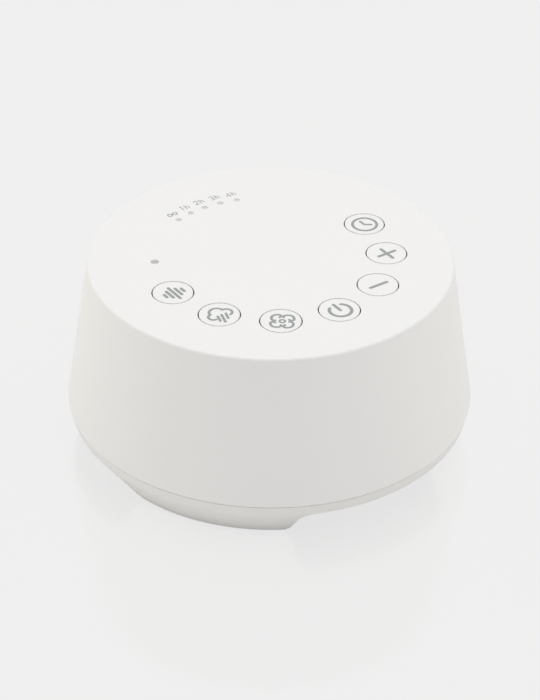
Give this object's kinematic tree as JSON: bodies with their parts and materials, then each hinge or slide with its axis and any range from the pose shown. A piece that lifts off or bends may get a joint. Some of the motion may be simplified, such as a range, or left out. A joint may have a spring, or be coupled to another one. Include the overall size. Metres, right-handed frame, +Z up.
{
  "type": "white noise sound machine",
  "caption": "Round white bedside sound machine: conical housing with flush push buttons and timer windows in its flat top, on a base with arched feet and a speaker that faces down.",
  "frame": {"origin": "on the table under the middle of the machine, at the foot pads' underside", "axes": "+Z up along the housing's axis, -Y towards the user and the power button, +Y towards the timer windows and the power inlet"},
  "size_m": [0.12, 0.12, 0.0591],
  "materials": {
    "white_shell": "satin white moulding",
    "white_keys": "satin white moulding",
    "stem_plastic": "natural",
    "pad_rubber": "matte grey",
    "screw_steel": "zinc plated",
    "board_laminate": "green solder mask",
    "switch_steel": "plated cover",
    "light_guide": "milky clear",
    "black_plastic": "black",
    "lamp_resin": "clear resin",
    "capacitor_can": "bare can",
    "socket_steel": "stainless shell",
    "speaker_steel": "black lacquer",
    "magnet_ferrite": "dark grey",
    "diaphragm_fibre": "black fibre",
    "surround_rubber": "black",
    "foam": "closed-cell foam",
    "cloth": "woven",
    "cell_wrap": "grey film",
    "connector_plastic": "cream",
    "lead_sleeve": "black sleeve"
  },
  "bodies": {
    "housing": {"top_housing": "white_shell", "base": "white_shell", "foot_pads": "pad_rubber", "housing_screws": "screw_steel", "control_board": "board_laminate", "socket_board": "board_laminate", "switch_bodies": "switch_steel", "timer_light_guide": "light_guide", "status_light_guide": "light_guide", "light_shroud": "black_plastic", "controller_chip": "black_plastic", "sound_memory_chip": "black_plastic", "amplifier_chip": "black_plastic", "usb_tongue": "black_plastic", "speaker_terminals": "black_plastic", "timer_leds": "lamp_resin", "status_led": "lamp_resin", "board_capacitor": "capacitor_can", "usb_socket": "socket_steel", "speaker_frame": "speaker_steel", "speaker_magnet": "magnet_ferrite", "speaker_surround": "surround_rubber", "speaker_gasket": "foam", "battery_foam": "foam", "grille_cloth": "cloth", "battery_pack": "cell_wrap", "battery_header": "connector_plastic", "battery_plug": "connector_plastic", "battery_leads": "lead_sleeve", "speaker_leads": "lead_sleeve", "socket_leads": "lead_sleeve"},
    "white_noise_key": {"button_white_noise": "white_keys", "stem_white_noise": "stem_plastic"},
    "rain_key": {"button_rain": "white_keys", "stem_rain": "stem_plastic"},
    "fan_key": {"button_fan": "white_keys", "stem_fan": "stem_plastic"},
    "power_key": {"button_power": "white_keys", "stem_power": "stem_plastic"},
    "volume_down_key": {"button_volume_down": "white_keys", "stem_volume_down": "stem_plastic"},
    "volume_up_key": {"button_volume_up": "white_keys", "stem_volume_up": "stem_plastic"},
    "timer_key": {"button_timer": "white_keys", "stem_timer": "stem_plastic"},
    "diaphragm": {"speaker_diaphragm": "diaphragm_fibre"}
  },
  "joints": [
    {"name": "press_white_noise", "type": "slide", "parent": "housing", "child": "white_noise_key", "axis": [0, 0, -1], "range_m": [0, 0.0005], "stiffness_N_per_m": 1600},
    {"name": "press_rain", "type": "slide", "parent": "housing", "child": "rain_key", "axis": [0, 0, -1], "range_m": [0, 0.0005], "stiffness_N_per_m": 1600},
    {"name": "press_fan", "type": "slide", "parent": "housing", "child": "fan_key", "axis": [0, 0, -1], "range_m": [0, 0.0005], "stiffness_N_per_m": 1600},
    {"name": "press_power", "type": "slide", "parent": "housing", "child": "power_key", "axis": [0, 0, -1], "range_m": [0, 0.0005], "stiffness_N_per_m": 1600},
    {"name": "press_volume_down", "type": "slide", "parent": "housing", "child": "volume_down_key", "axis": [0, 0, -1], "range_m": [0, 0.0005], "stiffness_N_per_m": 1600},
    {"name": "press_volume_up", "type": "slide", "parent": "housing", "child": "volume_up_key", "axis": [0, 0, -1], "range_m": [0, 0.0005], "stiffness_N_per_m": 1600},
    {"name": "press_timer", "type": "slide", "parent": "housing", "child": "timer_key", "axis": [0, 0, -1], "range_m": [0, 0.0005], "stiffness_N_per_m": 1600},
    {"name": "diaphragm_travel", "type": "slide", "parent": "housing", "child": "diaphragm", "axis": [0, 0, 1], "range_m": [-0.0005, 0.0005], "stiffness_N_per_m": 1500, "deforming": ["speaker_surround"]}
  ]
}
